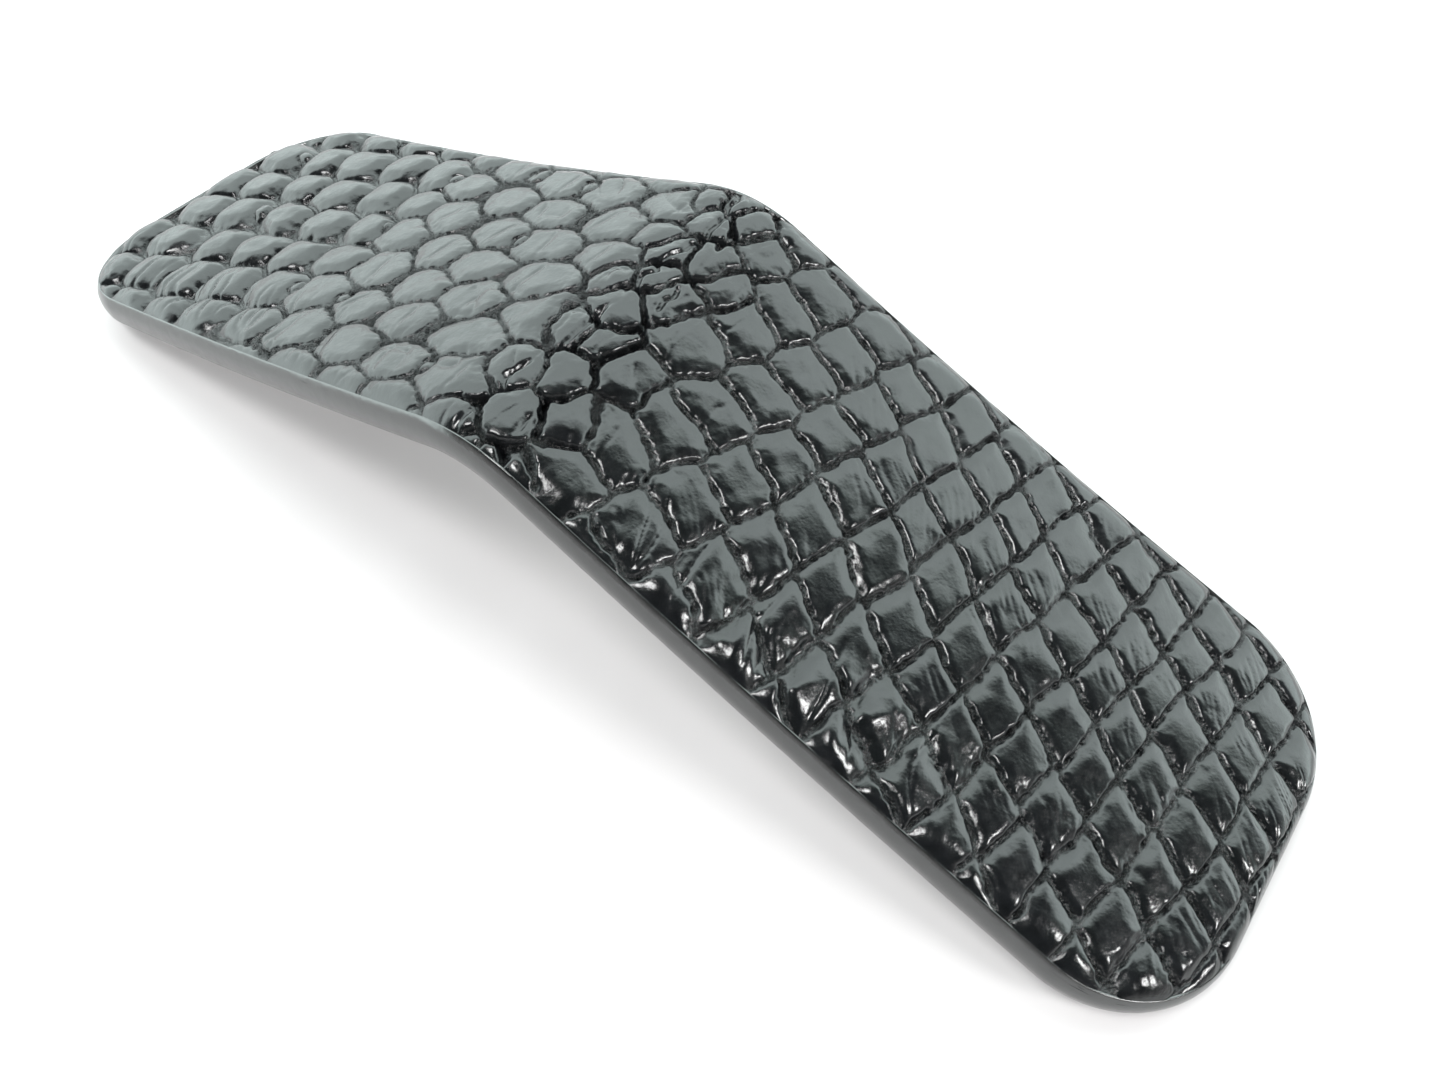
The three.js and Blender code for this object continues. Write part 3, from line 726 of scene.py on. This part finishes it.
def plated_material(name, colour, low, high, brushed):
    """Bright plate over stamped steel: fine drawn lines along the strip and faint smears."""
    nodes = Nodes(name)
    lines = noise(nodes, position(nodes, (1, 14, 14)), brushed, 4, 0.6)
    smears = noise(nodes, position(nodes), 260, 4, 0.6)
    dull = tuple(0.82 * c for c in colour)
    nodes.link(mottle(nodes, smears, dull, colour), nodes.shader.inputs["Base Color"])
    rough = nodes.add("ShaderNodeMath", operation="MULTIPLY")
    nodes.link(mottle(nodes, lines, grey(low), grey(high)), rough.inputs[0])
    nodes.link(mottle(nodes, smears, grey(0.8), grey(1.0)), rough.inputs[1])
    nodes.link(rough.outputs[0], nodes.shader.inputs["Roughness"])
    nodes.link(bump(nodes, lines, 0.00002, 0.35), nodes.shader.inputs["Normal"])
    nodes.set(Metallic=1.0)
    return nodes.material


# ---- Clip ---------------------------------------------------------------------------------------

EASE_WIDTH = 0.1
SHARP_ANGLE = math.radians(38)


def eased_copy(node, name, material):
    """The CAD node's own shape as a new piece with its sharp edges eased."""
    piece = bpy.data.objects.new("visual_" + name, frame["nodes"][node].data.copy())
    bpy.context.scene.collection.objects.link(piece)
    piece.data.materials.clear()
    piece.data.materials.append(material)
    weld = piece.modifiers.new("weld", "WELD")
    weld.merge_threshold = 0.000001
    planar = piece.modifiers.new("planar", "DECIMATE")
    planar.decimate_type = "DISSOLVE"
    planar.angle_limit = math.radians(0.2)
    ease = piece.modifiers.new("ease", "BEVEL")
    ease.width = EASE_WIDTH * MM
    ease.segments = 2
    ease.limit_method = "ANGLE"
    ease.angle_limit = math.radians(32)
    apply_modifiers(piece)
    piece.data.polygons.foreach_set("use_smooth", [True] * len(piece.data.polygons))
    piece.data.set_sharp_from_angle(angle=SHARP_ANGLE)
    return piece


def apply_modifiers(piece):
    """Bakes the piece's modifiers into its mesh."""
    graph = bpy.context.evaluated_depsgraph_get()
    result = bpy.data.meshes.new_from_object(piece.evaluated_get(graph))
    piece.modifiers.clear()
    piece.data = result


def make_spring_half(side, material):
    """Half of the arched leaf, cut off at its middle and capped there."""
    name = "tension_spring_" + ("right" if side > 0 else "left")
    piece = eased_copy("tension_spring", name, material)
    form = bmesh.new()
    form.from_mesh(piece.data)
    everything = form.verts[:] + form.edges[:] + form.faces[:]
    bmesh.ops.bisect_plane(
        form, geom=everything, plane_co=(0, 0, 0), plane_no=(side, 0, 0), clear_inner=True
    )
    bmesh.ops.holes_fill(form, edges=[edge for edge in form.edges if edge.is_boundary])
    form.to_mesh(piece.data)
    form.free()
    piece.data.set_sharp_from_angle(angle=SHARP_ANGLE)
    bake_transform(piece)
    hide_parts("tension_spring")


# ---- Studio -------------------------------------------------------------------------------------

CAMERA_AZIMUTH = math.radians(42.5)
CAMERA_ELEVATION = math.radians(42.5)
CAMERA_ROLL = math.radians(2.87)
CAMERA_DISTANCE = 80.1 * MM
CAMERA_AIM = (6.34 * MM, -17.6 * MM)
LENS = 28.0
FLOOR_HALF = 1.6
ROOM_AXIS = (-0.53, 0.69, -0.49)
ROOM_GLOW = (
    (-0.6, 0.02), (-0.34, 0.03), (-0.27, 0.12), (-0.2, 0.45), (-0.13, 0.96), (0.0, 1.0),
    (0.35, 0.74), (0.95, 0.65),
)
ROOM_TINT = (0.88, 1.0, 0.985)
ROOM_STRENGTH = 4.8
HORIZON_GLOW = 0.22


def make_camera():
    """Camera on a sphere about the top of the ridge, aimed a little right of it and below it."""
    sin_az, cos_az = math.sin(CAMERA_AZIMUTH), math.cos(CAMERA_AZIMUTH)
    sin_el, cos_el = math.sin(CAMERA_ELEVATION), math.cos(CAMERA_ELEVATION)
    back = Vector((sin_az * cos_el, -cos_az * cos_el, sin_el))
    apex = Vector((0, 0, face_top * MM))
    right = (-back).cross(Vector((0, 0, 1))).normalized()
    up = right.cross(-back)
    place = apex + back * CAMERA_DISTANCE
    forward = (apex + CAMERA_AIM[0] * right + CAMERA_AIM[1] * up - place).normalized()
    level_right = forward.cross(Vector((0, 0, 1))).normalized()
    level_up = level_right.cross(forward)
    turn = Matrix.Rotation(CAMERA_ROLL, 3, -forward)
    axes = Matrix((turn @ level_right, turn @ level_up, -forward)).transposed()
    data = bpy.data.cameras.new("camera")
    data.lens = LENS
    data.clip_start = 0.002
    camera = bpy.data.objects.new("camera", data)
    camera.matrix_world = Matrix.Translation(place) @ axes.to_4x4()
    bpy.context.scene.collection.objects.link(camera)
    bpy.context.scene.camera = camera


def make_floor():
    """Plain pale floor, warmed a little against the room's cool tint."""
    nodes = Nodes("floor")
    place = position(nodes)
    dark, light = (0.475, 0.46, 0.462), (0.505, 0.49, 0.492)
    tone = mottle(nodes, noise(nodes, place, 60, 2), dark, light)
    nodes.link(tone, nodes.shader.inputs["Base Color"])
    nodes.set(Roughness=0.95)
    corners = [(x * FLOOR_HALF, y * FLOOR_HALF, 0) for x, y in ((-1, -1), (1, -1), (1, 1), (-1, 1))]
    floor = new_piece("floor", corners, [(0, 1, 2, 3)], nodes.material)


def make_world():
    """Pale room that is bright beyond the left end and the far side, and dark overhead."""
    world = bpy.data.worlds.new("studio")
    bpy.context.scene.world = world
    world.use_nodes = True
    tree = world.node_tree
    direction = tree.nodes.new("ShaderNodeTexCoord").outputs["Generated"]
    brighter = tree.nodes.new("ShaderNodeMix")
    brighter.data_type = "RGBA"
    brighter.blend_type = "LIGHTEN"
    brighter.inputs["Factor"].default_value = 1.0
    tree.links.new(room_glow(tree, direction), brighter.inputs["A"])
    tree.links.new(horizon_glow(tree, direction), brighter.inputs["B"])
    background = tree.nodes["Background"]
    background.inputs["Strength"].default_value = ROOM_STRENGTH
    tree.links.new(brighter.outputs["Result"], background.inputs["Color"])


def room_glow(tree, direction):
    """Tinted brightness that follows ROOM_GLOW, pairs of (place along ROOM_AXIS, brightness)."""
    first, last = ROOM_GLOW[0][0], ROOM_GLOW[-1][0]
    along = tree.nodes.new("ShaderNodeVectorMath")
    along.operation = "DOT_PRODUCT"
    along.inputs[1].default_value = ROOM_AXIS
    span = tree.nodes.new("ShaderNodeMapRange")
    span.inputs["From Min"].default_value = first
    span.inputs["From Max"].default_value = last
    tones = tree.nodes.new("ShaderNodeValToRGB")
    elements = tones.color_ramp.elements
    for place, _ in ROOM_GLOW[1:-1]:
        elements.new((place - first) / (last - first))
    for element, (_, glow) in zip(elements, ROOM_GLOW):
        element.color = (*(tint * glow for tint in ROOM_TINT), 1)
    tree.links.new(direction, along.inputs[0])
    tree.links.new(along.outputs["Value"], span.inputs["Value"])
    tree.links.new(span.outputs["Result"], tones.inputs["Fac"])
    return tones.outputs["Color"]


def horizon_glow(tree, direction):
    """Brightness near the horizon and below it, which fades out upwards."""
    split = tree.nodes.new("ShaderNodeSeparateXYZ")
    horizon = tree.nodes.new("ShaderNodeMapRange")
    horizon.inputs["From Min"].default_value = 0.1
    horizon.inputs["From Max"].default_value = 0.4
    horizon.inputs["To Min"].default_value = HORIZON_GLOW
    horizon.inputs["To Max"].default_value = 0.0
    tree.links.new(direction, split.inputs[0])
    tree.links.new(split.outputs["Z"], horizon.inputs["Value"])
    return horizon.outputs["Result"]


def make_lamp(name, direction, distance, size, power, shows=True):
    """Square soft light that looks back at the barrette, and shows in its gloss unless told not to."""
    data = bpy.data.lights.new(name, "AREA")
    data.size = size
    data.energy = power
    lamp = bpy.data.objects.new(name, data)
    way = Vector(direction).normalized()
    lamp.location = way * distance
    lamp.rotation_euler = way.to_track_quat("Z", "Y").to_euler()
    lamp.visible_glossy = shows
    bpy.context.scene.collection.objects.link(lamp)


# ---- Assembly -----------------------------------------------------------------------------------

bpy.context.scene.view_settings.view_transform = "Standard"
make_camera()
make_floor()
make_world()
make_lamp("overhead_lamp", (-0.12, -0.3, 0.95), distance=0.9, size=0.24, power=5.0)
make_lamp("side_lamp", (0.78, 0.1, 0.62), distance=0.9, size=0.18, power=4.5)
make_lamp("floor_fill", (-0.2, -0.9, 0.38), distance=1.1, size=0.9, power=23, shows=False)

skin = make_skin(leather_material())
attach(skin, "strip")
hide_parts("alligator_skin")

coat = make_edge_coat(edge_material())
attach(coat, "strip")
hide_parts("edge_coat")

for node, material in (("stiffener_board", board_material()), ("lining_leather", lining_material())):
    frame["nodes"][node].data.materials.clear()
    frame["nodes"][node].data.materials.append(material)

METAL = {
    "nickel_plate": plated_material("nickel_plate", (0.68, 0.66, 0.62), 0.12, 0.24, 300),
    "spring_steel": plated_material("spring_steel", (0.55, 0.56, 0.58), 0.2, 0.36, 420),
}
slots = {part["node"]: part["material_slot"] for part in frame["record"]["subparts"]}
for body, nodes in frame["record"]["behaviour"]["bodies"].items():
    for node in nodes:
        if slots[node] in METAL and node != "tension_spring":
            piece = eased_copy(node, node, METAL[slots[node]])
            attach(piece, body)
            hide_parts(node)
for side in (-1, 1):
    make_spring_half(side, METAL["spring_steel"])
